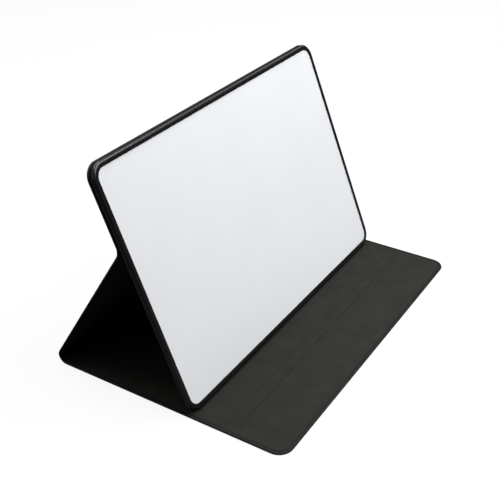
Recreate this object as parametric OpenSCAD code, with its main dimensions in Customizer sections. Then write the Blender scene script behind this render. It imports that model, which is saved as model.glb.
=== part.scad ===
// Magnetic desk whiteboard on a folding folio stand.
// A framed steel board leans on a stiff flap of its own folio cover.
// The cover runs from the board's upper back, over a mid hinge, down the flap,
// round a soft spine and forward under the board as the base panel.
// Frame: +Z up, the writing face looks towards -Y, X runs along the board's width.
// The origin is on the desk, under the middle of the whole stand.

/* [Board] */
// Width of the framed board
board_w = 300; // [220:1:420]
// Height of the framed board, measured along its face
board_h = 200; // [180:1:280]
// Thickness of the moulded frame
frame_t = 4.5; // [3:0.1:6]
// Width of the frame's front lip
lip_w = 4.7; // [3.5:0.1:9]
// Outer corner radius of the frame
frame_corner_r = 12.7; // [10:0.1:30]
// Depth of the writing face below the front of the lip
face_recess = 0.4; // [0.2:0.05:0.8]
// How far the lip reaches over the edge of the writing sheet
lip_overlap = 1.2; // [0.5:0.1:1.8]
// Thickness of the lacquered steel writing sheet
sheet_t = 0.4; // [0.3:0.05:0.7]
// Thickness of the plastic backing sheet
backing_t = 0.4; // [0.3:0.05:0.7]
// Clearance round a flat piece in its pocket
fit_gap = 0.1; // [0.05:0.05:0.3]

/* [Cover] */
// How far the sides of the cover stand in from the sides of the board
cover_inset = 0; // [0:0.1:3]
// How far the upper panel stands above the top of the board
cover_rise = 0.4; // [0:0.1:2]
// Thickness of the coated fabric skin
skin_t = 0.7; // [0.5:0.1:1.2]
// Thickness of the stiff sheet inside each panel
stiffener_t = 0.9; // [0.6:0.1:2]
// Thickness of the microfibre lining
lining_t = 0.4; // [0.3:0.1:0.8]
// Corner radius of the free ends of the cover
cover_corner_r = 12; // [6:0.5:25]
// Width of the skin folded round the edge of a stiff sheet
edge_wall = 1.2; // [0.9:0.1:2]
// Width of the skin turned over the inner side, outside the lining
hem_w = 2.4; // [2.1:0.1:6]
// Thickness of the tape that holds the upper panel to the board
tape_t = 0.25; // [0.1:0.05:0.6]
// Distance of the tape from the edges of the upper panel
tape_margin = 6; // [3:0.5:15]

/* [Fold] */
// Tilt of the board from the desk
board_tilt = 68.1; // [62:0.1:72]
// Distance of the board's bottom edge from the front of the base
board_setback = 81.8; // [65:0.1:95]
// How much longer the base panel is than the board is high
base_reach = 3.1; // [0:0.1:15]
// Outer radius of the soft spine
spine_r = 7.8; // [6:0.1:12]
// Bend radius of the mid hinge, on the outer face of its skin
hinge_r = 8.4; // [6:0.1:20]
// Length of the upper panel, from its top edge down to the mid hinge
upper_len = 60.1; // [45:0.1:75]
// Gap between the board's bottom edge and the lining that it slides on
seat_gap = 0.3; // [0.2:0.05:0.5]
// Gap between a soft strip and the panel that moves against it
fold_gap = 0.3; // [0.2:0.05:0.5]

/* [Magnets] */
// Width of the flexible magnet strips
magnet_w = 9; // [6:0.1:12]
// Distance of a magnet strip's ends from the sides of the cover
magnet_margin = 9.4; // [6:0.1:30]
// Distance of the front magnet strip's middle from the front of the base
front_magnet_y = 49.5; // [25:0.1:55]
// Width of the line pressed round a magnet strip
press_w = 0.6; // [0.3:0.1:1]
// Depth of the line pressed round a magnet strip
press_depth = 0.2; // [0.1:0.05:0.25]

/* [Hidden] */
$fn = 96;

// Board stack, from the lip back
window_w = board_w - 2 * lip_w;
window_h = board_h - 2 * lip_w;
window_r = frame_corner_r - lip_w;
stack_t = frame_t - face_recess;
core_t = stack_t - sheet_t - backing_t;

// Cover. The base panel covers the board when the folio is shut.
cover_w = board_w - 2 * cover_inset;
cover_t = skin_t + stiffener_t + lining_t;
strip_t = skin_t + lining_t;
base_len = board_h + base_reach;
hinge_up = board_h + cover_rise - upper_len - fold_gap;
magnet_len = cover_w - 2 * magnet_margin;

// Side view, as [y, z]. A direction at angle a has along(a) along it and behind(a) square to it.
function along(a) = [cos(a), sin(a)];
function behind(a) = [sin(a), -cos(a)];
depth = base_len + spine_r;
front_y = -depth / 2;
// Middle of the board's rounded bottom edge
foot = [front_y + board_setback, cover_t + seat_gap + frame_t / 2];
spine_mid = [front_y + base_len, spine_r];
hinge_mid = foot + (hinge_up - frame_t / 2) * along(board_tilt)
    + (frame_t / 2 + tape_t + cover_t + hinge_r) * behind(board_tilt);
// The flap's outer face is the inner tangent of the spine and the mid hinge
span = hinge_mid - spine_mid;
flap_run = sqrt(pow(norm(span), 2) - pow(spine_r + hinge_r, 2));
flap_lean = 180 - atan2(span.y, span.x) - asin((spine_r + hinge_r) / norm(span));
flap_foot = spine_mid + spine_r * along(90 - flap_lean);
flap_len = flap_run - fold_gap;

// Pivots. Both legs are equally long, so the board's foot keeps its height as it slides.
hinge_from = 90 + board_tilt;
hinge_to = 270 - flap_lean;
mid_pivot = hinge_mid + (hinge_r + strip_t / 2) * along((hinge_from + hinge_to) / 2);
rear_pivot = [2 * mid_pivot.x - foot.x, foot.y];
echo(mid_pivot = mid_pivot, rear_pivot = rear_pivot, foot = foot, flap_lean = flap_lean);

// Flat shapes
module rounded_rect(w, h, r) {
    translate([-w / 2 + r, 0]) square([w - 2 * r, h]);
    translate([-w / 2, r]) square([w, h - 2 * r]);
    for (x = [-1, 1], y = [r, h - r]) translate([x * (w / 2 - r), y]) circle(r);
}

// Outline of a panel with a rounded free end at y = 0 and a square end at y = l
module panel_plan(w, l, r) {
    translate([-w / 2 + r, 0]) square([w - 2 * r, l]);
    translate([-w / 2, r]) square([w, l - r]);
    for (x = [-1, 1]) translate([x * (w / 2 - r), r]) circle(r);
}

// Section of a flat plate, from its middle out to a half-round edge
module edge_section(run, t) {
    square([run - t / 2, t]);
    translate([run - t / 2, t / 2]) circle(t / 2);
}

// Section of the frame, from the axis of its corner out: a thin lip with a round edge over the
// writing sheet, then the wall round the pocket and the half-round outer edge
module frame_section() {
    lip_edge = window_r + face_recess / 2;
    wall = window_r + lip_overlap;
    round_mid = frame_corner_r - frame_t / 2;
    translate([lip_edge, stack_t + face_recess / 2]) circle(face_recess / 2);
    translate([lip_edge, stack_t]) square([round_mid - lip_edge, face_recess]);
    translate([wall, 0]) square([round_mid - wall, frame_t]);
    difference() {
        translate([round_mid, frame_t / 2]) circle(frame_t / 2);
        square([wall, frame_t]);
    }
}

// Sweeps a section, drawn from the axis of a corner out, round a rectangle with rounded corners
module sweep_round(w, h, r) {
    for (side = [0, 1]) mirror([side, 0, 0]) {
        translate([w / 2 - r, h - r, 0]) rotate([90, 0, 0]) linear_extrude(h - 2 * r) children();
        translate([w / 2 - r, h - r, 0]) rotate_extrude(angle = 90) children();
        translate([w / 2 - r, r, 0]) rotate([0, 0, -90]) rotate_extrude(angle = 90) children();
    }
    translate([-w / 2 + r, h - r, 0]) rotate([90, 0, 90]) linear_extrude(w - 2 * r) children();
    translate([w / 2 - r, r, 0]) rotate([90, 0, -90]) linear_extrude(w - 2 * r) children();
}

// Plate with rounded corners and a half-round edge all the way round
module soft_plate(w, h, r, t) {
    translate([-w / 2 + r, r, 0]) cube([w - 2 * r, h - 2 * r, t]);
    sweep_round(w, h, r) edge_section(r, t);
}

// Turns a section, drawn as [radius, x], round an axis along X
module bend(middle, from, to) {
    translate([0, middle.x, middle.y]) rotate([90, 0, 90]) rotate([0, 0, from])
        rotate_extrude(angle = to - from) children();
}

// Section of a soft strip: the skin is turned over both sides, and the lining lies between.
// The lining starts at radius r_lining; the whole strip starts at radius r_in.
module strip_lining(r_lining, side_gap) {
    w = cover_w - 2 * (hem_w + side_gap);
    translate([r_lining, -w / 2]) square([lining_t, w]);
}

module strip_skin(r_in, r_lining) {
    w = cover_w - strip_t;
    difference() {
        union() {
            translate([r_in, -w / 2]) square([strip_t, w]);
            for (side = [-1, 1]) translate([r_in + strip_t / 2, side * w / 2]) circle(strip_t / 2);
        }
        strip_lining(r_lining, 0);
    }
}

// Places of the three stiff panels and the board
module on_board() {
    translate([0, foot.x, foot.y]) rotate([board_tilt, 0, 0])
        translate([0, -frame_t / 2, -frame_t / 2]) children();
}

module on_upper() {
    on_board() translate([0, board_h + cover_rise, -tape_t - cover_t])
        mirror([0, 1, 0]) children();
}

module on_flap() {
    translate([0, flap_foot.x, flap_foot.y]) rotate([180 - flap_lean, 0, 0])
        translate([0, fold_gap, 0]) children();
}

module on_base() {
    translate([0, front_y, 0]) children();
}

// Cover panel, outer face down. A free end is rounded at y = 0; otherwise both ends are cut.
module panel_skin(l, free_end) {
    difference() {
        intersection() {
            translate([0, free_end ? 0 : -2 * cover_corner_r, 0])
                soft_plate(cover_w, l + 4 * cover_corner_r, cover_corner_r, cover_t);
            translate([-cover_w, 0, -cover_t]) cube([2 * cover_w, l, 3 * cover_t]);
        }
        translate([0, 0, skin_t]) linear_extrude(cover_t)
            panel_inside(l + cover_t, hem_w, free_end);
        translate([0, 0, skin_t]) linear_extrude(stiffener_t)
            panel_inside(l + cover_t, edge_wall, free_end);
    }
}

// Outline inside a panel, this far in from its sides and its free end
module panel_inside(l, inset, free_end) {
    w = cover_w - 2 * inset;
    if (free_end) {
        translate([0, inset]) panel_plan(w, l - inset, cover_corner_r - inset);
    } else {
        translate([-w / 2, -cover_t]) square([w, l + cover_t]);
    }
}

// Flat sheet inside a panel, ending flush with the panel's cut ends
module panel_sheet(l, inset, free_end, t) {
    linear_extrude(t) intersection() {
        panel_inside(l, inset + fit_gap, free_end);
        translate([-cover_w, 0]) square([2 * cover_w, l]);
    }
}

module panel_stiffener(l, free_end) {
    translate([0, 0, skin_t]) panel_sheet(l, edge_wall, free_end, stiffener_t);
}

module panel_lining(l, free_end) {
    translate([0, 0, skin_t + stiffener_t]) panel_sheet(l, hem_w, free_end, lining_t);
}

// A bar the size of a magnet strip, grown on all sides, on the base panel
module magnet_bar(y, grow, t) {
    translate([-magnet_len / 2 - grow, y - magnet_w / 2 - grow, 0])
        cube([magnet_len + 2 * grow, magnet_w + 2 * grow, t]);
}

module magnet_strip(y) {
    translate([0, 0, skin_t]) magnet_bar(y, 0, stiffener_t);
}

module pressed_line(y) {
    translate([0, 0, cover_t - press_depth]) difference() {
        magnet_bar(y, press_w, cover_t);
        translate([0, 0, -cover_t]) magnet_bar(y, 0, 3 * cover_t);
    }
}

// Board
module writing_sheet() {
    color("white") on_board() translate([0, lip_w - lip_overlap + fit_gap, stack_t - sheet_t])
        linear_extrude(sheet_t) stack_plan();
}

module core_board() {
    color("tan") on_board() translate([0, lip_w - lip_overlap + fit_gap, backing_t])
        linear_extrude(core_t) stack_plan();
}

module backing_sheet() {
    color([0.1, 0.1, 0.11]) on_board() translate([0, lip_w - lip_overlap + fit_gap, 0])
        linear_extrude(backing_t) stack_plan();
}

module stack_plan() {
    grow = lip_overlap - fit_gap;
    rounded_rect(window_w + 2 * grow, window_h + 2 * grow, window_r + grow);
}

module bezel_frame() {
    color([0.07, 0.07, 0.08]) on_board()
        sweep_round(board_w, board_h, frame_corner_r) frame_section();
}

module panel_tape() {
    color([0.8, 0.78, 0.7]) on_board()
        translate([-cover_w / 2 + tape_margin, hinge_up + fold_gap + tape_margin, -tape_t])
            cube([cover_w - 2 * tape_margin, upper_len - 2 * tape_margin, tape_t]);
}

// Cover on the board's upper back
module upper_skin() {
    color([0.06, 0.06, 0.07]) on_upper() panel_skin(upper_len, true);
}

module upper_stiffener() {
    color("gray") on_upper() panel_stiffener(upper_len, true);
}

module upper_lining() {
    color([0.2, 0.2, 0.19]) on_upper() panel_lining(upper_len, true);
}

// Mid hinge: skin and lining bonded together without a stiff sheet between them
module hinge_skin() {
    color([0.06, 0.06, 0.07]) bend(hinge_mid, hinge_from, hinge_to)
        strip_skin(hinge_r, hinge_r + skin_t);
}

module hinge_lining() {
    color([0.2, 0.2, 0.19]) bend(hinge_mid, hinge_from, hinge_to)
        strip_lining(hinge_r + skin_t, fit_gap);
}

// Flap
module flap_skin() {
    color([0.06, 0.06, 0.07]) on_flap() panel_skin(flap_len, false);
}

module flap_stiffener() {
    color("gray") on_flap() panel_stiffener(flap_len, false);
}

module flap_lining() {
    color([0.2, 0.2, 0.19]) on_flap() panel_lining(flap_len, false);
}

// Spine
module spine_skin() {
    color([0.06, 0.06, 0.07]) bend(spine_mid, -90, 90 - flap_lean)
        strip_skin(spine_r - strip_t, spine_r - strip_t);
}

module spine_lining() {
    color([0.2, 0.2, 0.19]) bend(spine_mid, -90, 90 - flap_lean)
        strip_lining(spine_r - strip_t, fit_gap);
}

// Base
module base_skin() {
    color([0.06, 0.06, 0.07]) on_base() panel_skin(base_len, true);
}

module base_stiffener() {
    color("gray") on_base() difference() {
        panel_stiffener(base_len, true);
        for (y = [board_setback, front_magnet_y]) magnet_bar(y, fit_gap, cover_t);
    }
}

module base_lining() {
    color([0.23, 0.23, 0.22]) on_base() difference() {
        panel_lining(base_len, true);
        for (y = [board_setback, front_magnet_y]) pressed_line(y);
    }
}

module rest_magnet() {
    color([0.25, 0.2, 0.18]) on_base() magnet_strip(board_setback);
}

module front_magnet() {
    color([0.25, 0.2, 0.18]) on_base() magnet_strip(front_magnet_y);
}

writing_sheet();
bezel_frame();
core_board();
backing_sheet();
panel_tape();
upper_skin();
upper_stiffener();
upper_lining();
hinge_skin();
hinge_lining();
flap_skin();
flap_stiffener();
flap_lining();
spine_skin();
spine_lining();
base_skin();
base_stiffener();
base_lining();
rest_magnet();
front_magnet();
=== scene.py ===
import math

import bmesh
import bpy
import numpy as np
from mathutils import Matrix, Vector


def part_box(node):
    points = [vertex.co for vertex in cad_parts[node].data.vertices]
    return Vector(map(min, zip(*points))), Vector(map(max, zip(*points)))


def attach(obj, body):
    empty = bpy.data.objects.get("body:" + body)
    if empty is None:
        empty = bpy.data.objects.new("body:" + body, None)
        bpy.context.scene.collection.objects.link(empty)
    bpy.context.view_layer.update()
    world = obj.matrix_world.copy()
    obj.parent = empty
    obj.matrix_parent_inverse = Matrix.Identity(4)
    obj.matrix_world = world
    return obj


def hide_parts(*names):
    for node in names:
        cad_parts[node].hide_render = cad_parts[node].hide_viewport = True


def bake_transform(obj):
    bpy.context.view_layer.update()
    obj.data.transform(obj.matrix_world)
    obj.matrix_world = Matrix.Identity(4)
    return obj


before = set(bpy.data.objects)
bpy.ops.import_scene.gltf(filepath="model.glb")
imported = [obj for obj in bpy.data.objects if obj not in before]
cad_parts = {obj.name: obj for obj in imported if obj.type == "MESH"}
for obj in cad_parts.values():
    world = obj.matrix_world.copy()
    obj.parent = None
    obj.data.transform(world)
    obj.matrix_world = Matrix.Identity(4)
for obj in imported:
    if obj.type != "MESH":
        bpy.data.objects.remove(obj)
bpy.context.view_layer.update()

MM = 0.001

# Board
BOARD_TILT = 68.1
BOARD_H = 200 * MM
FRAME_T = 4.5 * MM
FRAME_CORNER_R = 12.7 * MM
LIP_W = 4.7 * MM
LIP_OVERLAP = 1.2 * MM
SHEET_T = 0.4 * MM
BACKING_T = 0.4 * MM
FACE_RECESS = 0.8 * MM
FACE_HEIGHT = FRAME_T - FACE_RECESS
# The lip's top is level up to here, dips a little, and rolls down at the window
LIP_LEVEL_W = LIP_W - 0.9 * MM
LIP_DIP = 0.02 * MM
LIP_ROLL_R = 0.25 * MM

# Cover
COVER_RISE = 0.4 * MM
COVER_CORNER_R = 12 * MM
SKIN_T = 0.7 * MM
STIFFENER_T = 0.9 * MM
LINING_T = 0.4 * MM
COVER_T = SKIN_T + STIFFENER_T + LINING_T
STRIP_T = SKIN_T + LINING_T
TAPE_T = 0.25 * MM
FIT_GAP = 0.1 * MM
# Gap between the solids at a fold, and what is left of it here
FOLD_GAP = 0.3 * MM
HAIR_GAP = 0.03 * MM
# The soft strips are as thick as the panels at their ends and thin out over this length
EASE_LEN = 4.5 * MM

# Hem and lining, with a soft seam between them. A thin ledge of skin closes the seam from below
EDGE_WALL = 1.2 * MM
EDGE_RUN = 0.4 * MM
HEM_W = 2.4 * MM
SEAM_SOFT = 0.2 * MM
SEAM_GAP = 0.3 * MM
LEDGE_W = 0.8 * MM
LEDGE_T = 0.04 * MM
LINING_LIFT = 1.5 * LEDGE_T
LINING_ROUND_W = 1.5 * SEAM_SOFT
LINING_INSET = HEM_W + SEAM_GAP

# Folds
SPINE_R = 7.8 * MM
HINGE_R = 8.4 * MM
UPPER_LEN = 60.1 * MM
HINGE_UP = BOARD_H + COVER_RISE - UPPER_LEN - FOLD_GAP

# Line pressed into the base's lining round the front magnet strip, wider and fainter at its rear. Its
# groove is real geometry, and painted shade darkens it
PRESS_W = 1.3 * MM
PRESS_DEPTH = 0.25 * MM
PRESS_GROW = 0.3 * MM
# Strength of the painted shade in the pressed line's groove
PRESS_SHADE = 0.25
PRESS_SPREAD = 0.6
PRESS_FADE = 0.5
# Painted contact shadow: a dark line on the nap just in front of the board's foot. It fades out between
# these distances from the sides
FOOT_SHADOW_W = 3 * MM
FOOT_SHADOW_AHEAD = 0.8 * MM
FOOT_SHADOW_FADE = (9 * MM, 4 * MM)

# Mesh fineness: distances between points, and turns in degrees
SKIN_STEP = 6 * MM
LINING_STEP = 3 * MM
FLAP_STEP = 8 * MM
CROSS_STEP = 12 * MM
CROSS_END = 3 * MM
LINING_EDGE = [d * MM for d in (0, 0.06, 0.14, 0.25, 0.45, 1)]
LINE_STEPS = 6
FRAME_EDGE_STEPS = 14
COVER_EDGE_STEPS = 8
FRAME_TURN = 5
SHEET_TURN = 7.5
COVER_TURN = 6
LIP_TURN = 18
BEND_TURN = 3
SHARP_ANGLE = 35

# Whole stand, from the frame
bezel_low, bezel_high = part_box("bezel_frame")
base_low, base_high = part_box("base_skin")
BOARD_W = bezel_high.x - bezel_low.x
COVER_W = base_high.x - base_low.x
LINING_HALF_W = COVER_W / 2 - LINING_INSET
FRONT_Y = base_low.y
BASE_LEN = base_high.y - FRONT_Y


def along(angle):
    """Direction at this angle in degrees. In the side view, (y, z), 0 points to the rear."""
    return np.array([math.cos(math.radians(angle)), math.sin(math.radians(angle))])


def behind(angle):
    """Direction square to the back of a panel that leans at this angle."""
    return along(angle - 90)


# Side view. The flap's outer face is the tangent that crosses between the spine's and the hinge's rolls
foot = np.array([bezel_low.y, bezel_low.z]) + FRAME_T / 2
spine_mid = np.array([FRONT_Y + BASE_LEN, SPINE_R])
hinge_mid = foot + (HINGE_UP - FRAME_T / 2) * along(BOARD_TILT)
hinge_mid = hinge_mid + (FRAME_T / 2 + TAPE_T + COVER_T + HINGE_R) * behind(BOARD_TILT)
span = hinge_mid - spine_mid
reach = float(np.hypot(*span))
flap_run = math.sqrt(reach ** 2 - (SPINE_R + HINGE_R) ** 2)
flap_slope = math.atan2(span[1], span[0]) + math.asin((SPINE_R + HINGE_R) / reach)
flap_lean = 180 - math.degrees(flap_slope)
flap_foot = spine_mid + SPINE_R * along(90 - flap_lean)
flap_len = flap_run - HAIR_GAP
upper_len = UPPER_LEN + FOLD_GAP - HAIR_GAP


def turn_x(degrees):
    return Matrix.Rotation(math.radians(degrees), 4, "X")


# Places in space of what is modelled lying flat, with its outer face or its back at height 0
ON_BOARD = (Matrix.Translation((0, *foot)) @ turn_x(BOARD_TILT)
            @ Matrix.Translation((0, -FRAME_T / 2, -FRAME_T / 2)))
ON_UPPER = (ON_BOARD @ Matrix.Translation((0, BOARD_H + COVER_RISE, -TAPE_T - COVER_T))
            @ Matrix.Scale(-1, 4, (0, 1, 0)))
ON_FLAP = (Matrix.Translation((0, *flap_foot)) @ turn_x(180 - flap_lean)
           @ Matrix.Translation((0, HAIR_GAP, 0)))
ON_BASE = Matrix.Translation((0, FRONT_Y, 0))


# Meshes
def add_object(name, data):
    obj = bpy.data.objects.new(name, data)
    bpy.context.scene.collection.objects.link(obj)
    return obj


def make_object(name, verts, faces, place=None):
    """Object from points and faces, which may turn either way. It is smooth but for its sharp edges."""
    mesh = bpy.data.meshes.new(name)
    mesh.from_pydata([tuple(v) for v in verts], [], faces)
    if place is not None:
        mesh.transform(place)
    work = bmesh.new()
    work.from_mesh(mesh)
    bmesh.ops.recalc_face_normals(work, faces=work.faces)
    work.to_mesh(mesh)
    work.free()
    mesh.validate()
    mesh.shade_smooth()
    mesh.set_sharp_from_angle(angle=math.radians(SHARP_ANGLE))
    mesh.update()
    return add_object(name, mesh)


def grid_faces(rows, cols, closed):
    """Faces between rows of points. In a closed grid each row is a loop."""
    faces = []
    for i in range(rows - 1):
        for j in range(cols if closed else cols - 1):
            k = (j + 1) % cols
            faces.append((i * cols + j, i * cols + k, (i + 1) * cols + k, (i + 1) * cols + j))
    return faces


def loft(name, sections, place=None):
    """Closed loops of points, one after the other, with a face at both ends."""
    cols = len(sections[0])
    verts = [point for section in sections for point in section]
    faces = grid_faces(len(sections), cols, True)
    faces.append(tuple(range(cols)))
    faces.append(tuple(range(len(verts) - cols, len(verts))))
    return make_object(name, verts, faces, place)


def ease(a, b, x):
    """0 up to a, 1 from b on, and smooth between them."""
    t = min(max((x - a) / (b - a), 0.0), 1.0)
    return t * t * (3 - 2 * t)


def bell(distance, width):
    """1 at no distance, falling smoothly to 0 at this width."""
    return math.cos(min(distance / width, 1) * math.pi / 2) ** 2


def stations(a, b, step):
    """Evenly spaced values from a to b, about this far apart."""
    count = max(1, round(abs(b - a) / step))
    return [a + (b - a) * i / count for i in range(count + 1)]


# Profiles, as (inset from the side, height above the outer face)
def half_round(t, steps):
    """Half-round edge, from the outer face up."""
    r = t / 2
    return [(r - r * c, r + r * s) for c, s in (along(-90 + 180 * i / steps) for i in range(steps + 1))]


def hem_profile(t, pocket):
    """Edge and hem of a skin, down to its pocket's floor, or to its lining's underside without one."""
    soft, under = SEAM_SOFT, t - LINING_T
    profile = [(t / 2 + EDGE_RUN, 0.0)] + half_round(t, COVER_EDGE_STEPS) + [(t / 2 + EDGE_RUN, t)]
    profile += [(HEM_W - 2 * soft, t), (HEM_W - soft, t - soft / 8)]
    profile += [(HEM_W - soft / 3, t - soft / 2), (HEM_W, t - soft)]
    if not pocket:
        return profile + [(HEM_W, under)]
    ledge_end = HEM_W + LEDGE_W
    profile += [(HEM_W, under + LEDGE_T), (ledge_end, under + LEDGE_T), (ledge_end, under)]
    return profile + [(EDGE_WALL, under), (EDGE_WALL, SKIN_T)]


def frame_profile():
    """Half-round outer edge, lip over the sheet with its roll at the window, and pocket wall."""
    top = FRAME_T - LIP_DIP
    lip = [(LIP_LEVEL_W, FRAME_T), (LIP_W - 2 * LIP_ROLL_R, top)]
    for c, s in (along(a) for a in stations(90, 0, LIP_TURN)):
        lip.append((LIP_W - LIP_ROLL_R + LIP_ROLL_R * c, top - LIP_ROLL_R + LIP_ROLL_R * s))
    wall = LIP_W - LIP_OVERLAP
    lip += [(LIP_W, FACE_HEIGHT), (wall, FACE_HEIGHT), (wall, 0)]
    return half_round(FRAME_T, FRAME_EDGE_STEPS) + lip


# Board's pieces, with the middle of the board's foot at the origin
def board_turns(step):
    """Pairs round the board's four corners: a corner's centre, and a direction out of it."""
    width, height = BOARD_W - 2 * FRAME_CORNER_R, BOARD_H - 2 * FRAME_CORNER_R
    turns = []
    for corner, (x, y) in enumerate(((1, 0), (1, 1), (0, 1), (0, 0))):
        middle = np.array([(x - 0.5) * width, FRAME_CORNER_R + y * height])
        turns += [(middle, along(a)) for a in stations(90 * corner - 90, 90 * corner, step)]
    return turns


def frame_ring(name, place):
    """The frame's profile swept round the board."""
    turns, profile = board_turns(FRAME_TURN), frame_profile()
    verts = [(*(middle + (FRAME_CORNER_R - inset) * out), height)
             for middle, out in turns for inset, height in profile]
    # The row after the last is the first one again
    faces = grid_faces(len(turns) + 1, len(profile), True)
    faces = [tuple(index % len(verts) for index in face) for face in faces]
    return make_object(name, verts, faces, place)


def stack_sheet(name, low, high, place):
    """Flat sheet with rounded corners, in the frame's pocket."""
    r = FRAME_CORNER_R - (LIP_W - LIP_OVERLAP + FIT_GAP)
    outline = [middle + r * out for middle, out in board_turns(SHEET_TURN)]
    return loft(name, [[(x, y, height) for x, y in outline] for height in (low, high)], place)


# Panels with a rounded free end at y = 0 and a cut end at y = length
def free_panel_skin(name, length, place):
    half, r = COVER_W / 2, COVER_CORNER_R
    path = [((half, y), (-1, 0)) for y in stations(length, r, SKIN_STEP)]
    for c, s in (along(a) for a in stations(0, 90, COVER_TURN)[1:]):
        path.append(((half - r + r * c, r - r * s), (-c, s)))
    path += [((x, 0), (0, 1)) for x in stations(half - r, 0, SKIN_STEP)[1:]]
    path += [((-point[0], point[1]), (-inward[0], inward[1])) for point, inward in reversed(path[:-1])]
    profile = hem_profile(COVER_T, True)
    verts = [(point[0] + inset * inward[0], point[1] + inset * inward[1], height)
             for point, inward in path for inset, height in profile]
    rows, cols = len(path), len(profile)
    last = (rows - 1) * cols
    faces = grid_faces(rows, cols, False)
    faces += [tuple(i * cols + side for i in range(rows)) for side in (0, cols - 1)]
    faces.append(tuple(range(cols)) + tuple(last + j for j in reversed(range(cols))))
    return make_object(name, verts, faces, place)


def press_mark(x, y, magnet):
    """1 in the middle of the line that is pressed round a magnet, 0 away from it."""
    if magnet is None:
        return 0.0
    half_w, front, rear = magnet
    share = ease(front, rear, y)
    distance = abs(max(abs(x) - half_w, front - y, y - rear))
    return (1 - PRESS_FADE * share) * bell(distance, PRESS_W * (1 + PRESS_SPREAD * share))


def foot_shadow_mark(x, y, foot_line):
    """1 in the middle of the painted contact shadow along the board's foot, 0 away from it."""
    if foot_line is None:
        return 0.0
    fade_start, fade_stop = (LINING_HALF_W - d for d in FOOT_SHADOW_FADE)
    return (1 - ease(fade_start, fade_stop, abs(x))) * bell(abs(y - foot_line), FOOT_SHADOW_W)


def lining_height(x, y, magnet):
    """Top of a panel's lining, rounded down at its edge and pressed in along the magnet's line."""
    r = COVER_CORNER_R - LINING_INSET
    dx, dy = abs(x) - (LINING_HALF_W - r), LINING_INSET + r - y
    if dx > 0 and dy > 0:
        edge = r - math.hypot(dx, dy)
    else:
        edge = min(LINING_HALF_W - abs(x), y - LINING_INSET)
    fall = SEAM_SOFT * (1 - ease(0, LINING_ROUND_W, edge)) ** 2
    return COVER_T - fall - PRESS_DEPTH * press_mark(x, y, magnet)


def line_rows(middle, width, reach):
    """Rows of points on and beside a line, LINE_STEPS to its width, this many on each side."""
    return {middle + width * k / LINE_STEPS for k in range(-reach, reach + 1)}


def panel_lining(name, length, place, magnet=None, foot_line=None):
    """Lining with the pressed lines of a magnet, as (half width, front, rear), and the line of the board's
    foot. Both carry painted shade.
    """
    half, r = LINING_HALF_W, COVER_CORNER_R - LINING_INSET
    xs = set(stations(half, 0, LINING_STEP)[1:]) | {half - d for d in LINING_EDGE}
    ys = set(stations(LINING_INSET, length, LINING_STEP)) | {LINING_INSET + d for d in LINING_EDGE}
    if magnet is not None:
        half_w, front, rear = magnet
        widest = math.ceil(LINE_STEPS * (1 + PRESS_SPREAD))
        xs |= line_rows(half_w, PRESS_W, widest)
        ys |= line_rows(front, PRESS_W, widest) | line_rows(rear, PRESS_W, widest)
    if foot_line is not None:
        ys |= line_rows(foot_line, FOOT_SHADOW_W, LINE_STEPS)
    xs = sorted(xs)
    xs = [-x for x in reversed(xs) if x > 0] + xs
    ys = sorted(ys)

    verts = []
    for y in ys:
        corner_reach = math.sqrt(max(r * r - max(r + LINING_INSET - y, 0) ** 2, 0))
        for x in xs:
            in_corner = max(abs(x) - (half - r), 0) * corner_reach / r
            x = math.copysign(min(abs(x), half - r) + in_corner, x)
            verts.append((x, y, lining_height(x, y, magnet)))
    # Painted shade: darker in the pressed line's groove and as the contact shadow in front of the board's
    # foot
    shade_levels = [max(PRESS_SHADE * press_mark(x, y, magnet), foot_shadow_mark(x, y, foot_line)) for x, y, _ in verts]

    rows, cols = len(ys), len(xs)
    faces = grid_faces(rows, cols, False)
    rim = list(range(cols)) + [i * cols + cols - 1 for i in range(1, rows)]
    rim += [(rows - 1) * cols + j for j in reversed(range(cols - 1))]
    rim += [i * cols for i in reversed(range(1, rows - 1))]
    low, count = len(verts), len(rim)
    verts += [(verts[i][0], verts[i][1], COVER_T - LINING_T + LINING_LIFT) for i in rim]
    for i in range(count):
        k = (i + 1) % count
        faces.append((rim[k], rim[i], low + i, low + k))
    faces.append(tuple(range(low, low + count)))
    obj = make_object(name, verts, faces, place)
    # Attribute that carries the painted shade to the material
    nap = obj.data.attributes.new("painted_nap_shade", "FLOAT", "POINT")
    nap.data.foreach_set("value", shade_levels + [0.0] * count)
    return obj


# Strips with two cut ends
def in_side_view(loop, outer, inward):
    """The loop of (x, height) in space, with heights measured inward from a point of the outer face."""
    return [(x, outer[0] + height * inward[0], outer[1] + height * inward[1]) for x, height in loop]


def strip_section(outer, inward, t, pocket):
    """Loop of points round the skin of a strip: outer face, side, hem, and the other side."""
    half, profile = COVER_W / 2, hem_profile(t, pocket)
    face = [(x, 0.0) for x in stations(CROSS_END - half, half - CROSS_END, CROSS_STEP)]
    right = [(half - inset, height) for inset, height in profile]
    left = [(inset - half, height) for inset, height in reversed(profile)]
    return in_side_view(face + right + left, outer, inward)


def lining_section(outer, inward, t):
    """Loop of points round the lining of a strip."""
    half, soft = LINING_HALF_W, SEAM_SOFT
    side = [(half, t - LINING_T + LINING_LIFT), (half, t - soft)]
    side += [(half - soft / 3, t - soft / 3), (half - soft, t)]
    top = [(x, t) for x in stations(half - CROSS_END, CROSS_END - half, CROSS_STEP)]
    return in_side_view(side + top + [(-x, height) for x, height in reversed(side)], outer, inward)


def straight_strip(name, length, place):
    """Skin and lining of a stiff panel between two folds."""
    ys = stations(0, length, FLAP_STEP)
    skin = [strip_section((y, 0), (0, 1), COVER_T, True) for y in ys]
    lining = [lining_section((y, 0), (0, 1), COVER_T) for y in ys]
    return loft(name + "_cover", skin, place), loft(name + "_inner", lining, place)


def strip_thickness(s, length):
    """The strip is as thick as a panel at both ends, where the stiff sheets stop."""
    return STRIP_T + STIFFENER_T * (1 - ease(0, EASE_LEN, min(s, length - s)))


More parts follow.
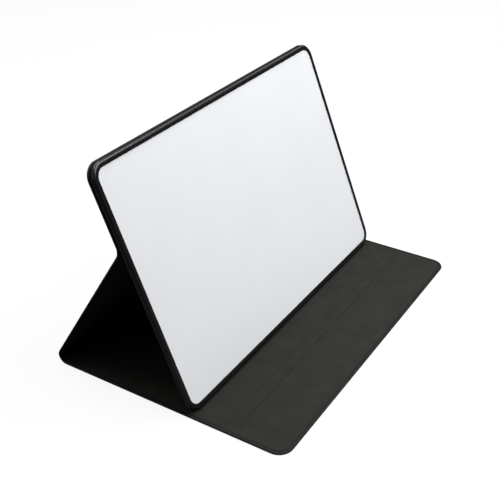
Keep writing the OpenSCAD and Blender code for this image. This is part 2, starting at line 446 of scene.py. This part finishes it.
def bent_strip(name, middle, radius, start, stop, outward):
    """Skin and lining round an arc; outward is 1 where the skin is on the outside of the bend, else -1."""
    length = radius * math.radians(abs(stop - start))
    skin, lining = [], []
    for a in stations(start, stop, BEND_TURN):
        outer = middle + radius * along(a)
        inward = -outward * along(a)
        t = strip_thickness(radius * math.radians(abs(a - start)), length)
        skin.append(strip_section(outer, inward, t, False))
        lining.append(lining_section(outer, inward, t))
    return loft(name + "_cover", skin), loft(name + "_inner", lining)


# Materials
NOISE_RANGE = (0.3, 0.7)


def grey(level):
    return (level, level, level)


class Look:
    """A material with its nodes. Lengths in textures are in metres, along the object's own axes."""

    def __init__(self, name, color, roughness, **sockets):
        self.material = bpy.data.materials.new(name)
        self.material.use_nodes = True
        self.tree = self.material.node_tree
        self.shader = self.tree.nodes["Principled BSDF"]
        self.shader.inputs["Base Color"].default_value = (*color, 1)
        self.shader.inputs["Roughness"].default_value = roughness
        for socket, value in sockets.items():
            self.shader.inputs[socket.replace("_", " ")].default_value = value
        self.where = self.node("ShaderNodeTexCoord").outputs["Object"]

    def node(self, kind, **values):
        made = self.tree.nodes.new(kind)
        for key, value in values.items():
            setattr(made, key, value)
        return made

    def link(self, output, target):
        self.tree.links.new(output, target)

    def noise(self, cell, detail=4.0, rough=0.55):
        """Noise whose features are about this long."""
        made = self.node("ShaderNodeTexNoise")
        made.inputs["Scale"].default_value = 1 / cell
        made.inputs["Detail"].default_value = detail
        made.inputs["Roughness"].default_value = rough
        self.link(self.where, made.inputs["Vector"])
        return made.outputs["Fac"]

    def pebbles(self, cell):
        """Rounded cells about this wide."""
        made = self.node("ShaderNodeTexVoronoi", feature="SMOOTH_F1")
        made.inputs["Scale"].default_value = 1 / cell
        self.link(self.where, made.inputs["Vector"])
        return made.outputs["Distance"]

    def added(self, first, second):
        made = self.node("ShaderNodeMath", operation="ADD")
        self.link(first, made.inputs[0])
        self.link(second, made.inputs[1])
        return made.outputs["Value"]

    def span(self, value, low, high, to_low, to_high):
        """The value's range from low to high, brought to another range."""
        made = self.node("ShaderNodeMapRange")
        for key, number in (("From Min", low), ("From Max", high), ("To Min", to_low), ("To Max", to_high)):
            made.inputs[key].default_value = number
        self.link(value, made.inputs["Value"])
        return made.outputs["Result"]

    def mixed(self, value, first, second):
        """The first colour where the value is 0, the second where it is 1."""
        made = self.node("ShaderNodeMix", data_type="RGBA")
        self.link(value, made.inputs["Factor"])
        for socket, color in (("A", first), ("B", second)):
            if isinstance(color, tuple):
                made.inputs[socket].default_value = (*color, 1)
            else:
                self.link(color, made.inputs[socket])
        return made.outputs["Result"]

    def base_color(self, color):
        self.link(color, self.shader.inputs["Base Color"])

    def clouded(self, noise, dark, light):
        """Base colour between two tones, by a noise."""
        self.base_color(self.mixed(self.span(noise, *NOISE_RANGE, 0, 1), dark, light))

    def roughness(self, value, low, high, smooth, rough):
        self.link(self.span(value, low, high, smooth, rough), self.shader.inputs["Roughness"])

    def bump(self, value, depth, strength=1.0):
        made = self.node("ShaderNodeBump")
        made.inputs["Distance"].default_value = depth
        made.inputs["Strength"].default_value = strength
        self.link(value, made.inputs["Height"])
        self.link(made.outputs["Normal"], self.shader.inputs["Normal"])


def white_lacquer():
    look = Look("white_lacquer", (0.825, 0.84, 0.865), 0.35, Coat_Weight=0.6, Coat_Roughness=0.12)
    look.clouded(look.noise(60 * MM, detail=2), (0.815, 0.83, 0.855), (0.835, 0.85, 0.875))
    look.roughness(look.noise(9 * MM), *NOISE_RANGE, 0.30, 0.40)
    look.bump(look.noise(1.6 * MM, detail=1), 0.004 * MM)
    return look.material


def frame_plastic():
    look = Look("frame_plastic", grey(0.0075), 0.24, Specular_IOR_Level=0.4)
    look.clouded(look.noise(25 * MM), grey(0.006), grey(0.009))
    look.roughness(look.noise(5 * MM), *NOISE_RANGE, 0.20, 0.28)
    look.bump(look.noise(0.35 * MM, detail=3), 0.02 * MM, 0.6)
    return look.material


def cover_leather():
    look = Look("cover_skin", grey(0.0095), 0.5, Specular_IOR_Level=0.15)
    grain = look.added(look.pebbles(0.9 * MM), look.noise(0.35 * MM))
    look.clouded(look.noise(18 * MM), grey(0.007), (0.0118, 0.0118, 0.011))
    look.roughness(grain, 0.4, 1.1, 0.42, 0.62)
    look.bump(grain, 0.12 * MM, 0.7)
    return look.material


def microfibre():
    """Cloudy nap, darker where its mesh attribute carries painted shade: in the pressed line's groove and
    as the contact shadow along the board's foot.
    """
    look = Look("lining", (0.021, 0.0213, 0.0185), 0.95, Specular_IOR_Level=0.1, Sheen_Weight=0.03)
    nap = look.noise(0.25 * MM, detail=5, rough=0.7)
    tone = look.span(look.added(nap, look.noise(14 * MM, detail=3)), 0.7, 1.3, 0, 1)
    unshaded = look.mixed(tone, (0.0175, 0.0178, 0.0154), (0.0241, 0.0245, 0.0214))
    shade_amount = look.node("ShaderNodeAttribute", attribute_name="painted_nap_shade").outputs["Fac"]
    # The dark colour is painted shade
    look.base_color(look.mixed(shade_amount, unshaded, (0.004, 0.004, 0.0035)))
    look.bump(nap, 0.10 * MM, 0.6)
    return look.material


def inner_material(name, dark, light, cell, rough):
    """Mottled material of a piece that lies inside."""
    look = Look(name, light, rough)
    look.clouded(look.noise(cell, detail=5, rough=0.7), dark, light)
    look.bump(look.noise(cell / 4), 0.05 * MM, 0.5)
    return look.material


LACQUER = white_lacquer()
PLASTIC = frame_plastic()
LEATHER = cover_leather()
LINING = microfibre()
FIBREBOARD = inner_material("fibreboard", (0.25, 0.16, 0.09), (0.36, 0.25, 0.15), 2 * MM, 0.8)
BACKING = inner_material("backing_plastic", (0.010, 0.010, 0.011), (0.016, 0.016, 0.017), 3 * MM, 0.5)
TAPE = inner_material("tape", (0.45, 0.42, 0.33), (0.60, 0.57, 0.46), 8 * MM, 0.4)
GREYBOARD = inner_material("greyboard", (0.16, 0.155, 0.14), (0.26, 0.25, 0.23), 1.5 * MM, 0.9)
RUBBER = inner_material("magnet_rubber", (0.030, 0.026, 0.024), (0.050, 0.043, 0.040), 1 * MM, 0.7)

CAD_MATERIALS = {
    "backing_sheet": BACKING, "panel_tape": TAPE, "upper_stiffener": GREYBOARD,
    "flap_stiffener": GREYBOARD, "base_stiffener": GREYBOARD, "rest_magnet": RUBBER,
    "front_magnet": RUBBER,
}
for node_name, material in CAD_MATERIALS.items():
    node_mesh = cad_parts[node_name].data
    node_mesh.materials.clear()
    node_mesh.materials.append(material)


def dress(piece, node, material, body=None):
    """The piece stands for a CAD node and hides it. One without a body is left without a parent."""
    piece.data.materials.append(material)
    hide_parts(node)
    if body:
        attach(piece, body)


# Pieces of the board
dress(frame_ring("frame_ring", ON_BOARD), "bezel_frame", PLASTIC, "board")
face_sheet = stack_sheet("face_sheet", FACE_HEIGHT - SHEET_T, FACE_HEIGHT, ON_BOARD)
dress(face_sheet, "writing_sheet", LACQUER, "board")
core = stack_sheet("core", BACKING_T, FACE_HEIGHT - SHEET_T, ON_BOARD)
dress(core, "core_board", FIBREBOARD, "board")

# Pieces of the cover
magnet_low, magnet_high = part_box("front_magnet")
magnet_front = magnet_low.y - FRONT_Y - PRESS_GROW
magnet_rear = magnet_high.y - FRONT_Y + PRESS_GROW
magnet_line = (magnet_high.x + PRESS_GROW, magnet_front, magnet_rear)
# Painted contact shadow along the board's foot, on the base's lining
foot_shadow_line = foot[0] - FRONT_Y - FOOT_SHADOW_AHEAD

base_cover = free_panel_skin("base_cover", BASE_LEN, ON_BASE)
dress(base_cover, "base_skin", LEATHER, "base")
base_inner = panel_lining("base_inner", BASE_LEN, ON_BASE, magnet_line, foot_shadow_line)
dress(base_inner, "base_lining", LINING, "base")

upper_cover = free_panel_skin("upper_cover", upper_len, ON_UPPER)
dress(upper_cover, "upper_skin", LEATHER, "board")
upper_inner = panel_lining("upper_inner", upper_len, ON_UPPER)
dress(upper_inner, "upper_lining", LINING, "board")

flap_cover, flap_inner = straight_strip("flap", flap_len, ON_FLAP)
dress(flap_cover, "flap_skin", LEATHER, "flap")
dress(flap_inner, "flap_lining", LINING, "flap")

spine_cover, spine_inner = bent_strip("spine", spine_mid, SPINE_R, -90, 90 - flap_lean, 1)
dress(spine_cover, "spine_skin", LEATHER)
dress(spine_inner, "spine_lining", LINING)

hinge_start, hinge_stop = 270 - flap_lean, 90 + BOARD_TILT
hinge_cover, hinge_inner = bent_strip("hinge", hinge_mid, HINGE_R, hinge_start, hinge_stop, -1)
dress(hinge_cover, "hinge_skin", LEATHER)
dress(hinge_inner, "hinge_lining", LINING)

# The soft strips' placing is applied to their points
for piece in (spine_cover, spine_inner):
    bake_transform(piece)
for piece in (hinge_cover, hinge_inner):
    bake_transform(piece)

# Floor. The camera sees it nearly white, with the stand's shadow. As a light on the stand it is dim
FLOOR_HALF = 6.0
FLOOR_DROP = 0.02 * MM
FLOOR_TONE = 0.12
FLOOR_SEEN_TONE = 0.86
FLOOR_GLOW = 0.91


def floor_material():
    look = Look("floor", grey(FLOOR_TONE), 1, Specular_IOR_Level=0)
    seen = look.node("ShaderNodeLightPath").outputs["Is Camera Ray"]
    look.base_color(look.mixed(seen, grey(FLOOR_TONE), grey(FLOOR_SEEN_TONE)))
    glow = look.node("ShaderNodeEmission")
    glow.inputs["Color"].default_value = (1, 1, 1, 1)
    share = look.node("ShaderNodeMath", operation="MULTIPLY")
    share.inputs[1].default_value = FLOOR_GLOW
    look.link(seen, share.inputs[0])
    mix = look.node("ShaderNodeMixShader")
    look.link(share.outputs["Value"], mix.inputs[0])
    look.link(look.shader.outputs["BSDF"], mix.inputs[1])
    look.link(glow.outputs["Emission"], mix.inputs[2])
    look.link(mix.outputs["Shader"], look.tree.nodes["Material Output"].inputs["Surface"])
    return look.material


floor_corners = [(x * FLOOR_HALF, y * FLOOR_HALF, 0) for x, y in ((-1, -1), (1, -1), (1, 1), (-1, 1))]
floor = make_object("floor", floor_corners, [(0, 1, 2, 3)])
floor.location.z = -FLOOR_DROP
floor.data.materials.append(floor_material())

# Sky and lamps
SKY_LOW = 0.02
SKY_HIGH = 0.08
LAMP_AIM = Vector((0, 0, 80 * MM))


def studio_world():
    """Light that grows from the horizon up. The camera, and rays through glass, see plain white."""
    world = bpy.data.worlds.new("studio")
    world.use_nodes = True
    nodes, link = world.node_tree.nodes, world.node_tree.links.new
    place = nodes.new("ShaderNodeTexCoord")
    height = nodes.new("ShaderNodeSeparateXYZ")
    light = nodes.new("ShaderNodeMapRange")
    light.inputs["To Min"].default_value = SKY_LOW
    light.inputs["To Max"].default_value = SKY_HIGH
    path = nodes.new("ShaderNodeLightPath")
    seen = nodes.new("ShaderNodeMath")
    seen.operation = "MAXIMUM"
    level = nodes.new("ShaderNodeMix")
    level.inputs["B"].default_value = 1
    sky = nodes["Background"]
    sky.inputs["Color"].default_value = (1, 1, 1, 1)
    link(place.outputs["Generated"], height.inputs["Vector"])
    link(height.outputs["Z"], light.inputs["Value"])
    link(path.outputs["Is Camera Ray"], seen.inputs[0])
    link(path.outputs["Is Transmission Ray"], seen.inputs[1])
    link(seen.outputs["Value"], level.inputs["Factor"])
    link(light.outputs["Result"], level.inputs["A"])
    link(level.outputs["Result"], sky.inputs["Strength"])
    bpy.context.scene.world = world


def toward(azimuth, elevation):
    """Direction from the stand; azimuth 0 is in front of the board, and 90 to the right of it."""
    a, e = math.radians(azimuth), math.radians(elevation)
    return Vector((math.sin(a) * math.cos(e), -math.cos(a) * math.cos(e), math.sin(e)))


def lamp(name, azimuth, elevation, distance, size, power):
    """Soft square lamp, with lengths in metres and power in watts."""
    data = bpy.data.lights.new(name, "AREA")
    data.shape = "SQUARE"
    data.size = size
    data.energy = power
    obj = add_object(name, data)
    out = toward(azimuth, elevation)
    obj.location = LAMP_AIM + distance * out
    obj.rotation_euler = out.to_track_quat("Z", "Y").to_euler()


studio_world()
lamp("key", azimuth=28, elevation=52, distance=1.1, size=0.8, power=14.1)
lamp("side", azimuth=83, elevation=44, distance=1.2, size=0.8, power=3.1)
lamp("rear", azimuth=170, elevation=70, distance=1.3, size=1.2, power=15)
lamp("left", azimuth=-120, elevation=30, distance=1.3, size=0.8, power=1.5)

# Camera, at the photograph's viewing angle, placed from the middle of the base's front edge
CAMERA_AZIMUTH = -58.091
CAMERA_ELEVATION = 33.097
CAMERA_ROLL = -0.312
CAMERA_DISTANCE = 723.26 * MM
CAMERA_ACROSS = 97.008 * MM
CAMERA_UP = -61.168 * MM
FOCAL_PX = 878.261
FRAME_PX = 500
CENTRE_PX = (259.146, 273.765)
SENSOR_MM = 36
CLIP_START = 10 * MM


def make_camera():
    back = toward(CAMERA_AZIMUTH, CAMERA_ELEVATION)
    right = (-back).cross(Vector((0, 0, 1))).normalized()
    up = right.cross(-back)
    roll = math.radians(CAMERA_ROLL)
    across = math.cos(roll) * right + math.sin(roll) * up
    upward = math.cos(roll) * up - math.sin(roll) * right
    data = bpy.data.cameras.new("camera")
    data.sensor_width = SENSOR_MM
    data.lens = FOCAL_PX / FRAME_PX * SENSOR_MM
    data.shift_x = (FRAME_PX / 2 - CENTRE_PX[0]) / FRAME_PX
    data.shift_y = (CENTRE_PX[1] - FRAME_PX / 2) / FRAME_PX
    data.clip_start = CLIP_START
    obj = add_object("camera", data)
    base_front = Vector((0, FRONT_Y, 0))
    where = base_front + CAMERA_DISTANCE * back - CAMERA_ACROSS * across - CAMERA_UP * upward
    turn = Matrix((across, upward, back)).transposed().to_4x4()
    obj.matrix_world = Matrix.Translation(where) @ turn
    bpy.context.scene.camera = obj


make_camera()
bpy.context.scene.view_settings.view_transform = "Standard"
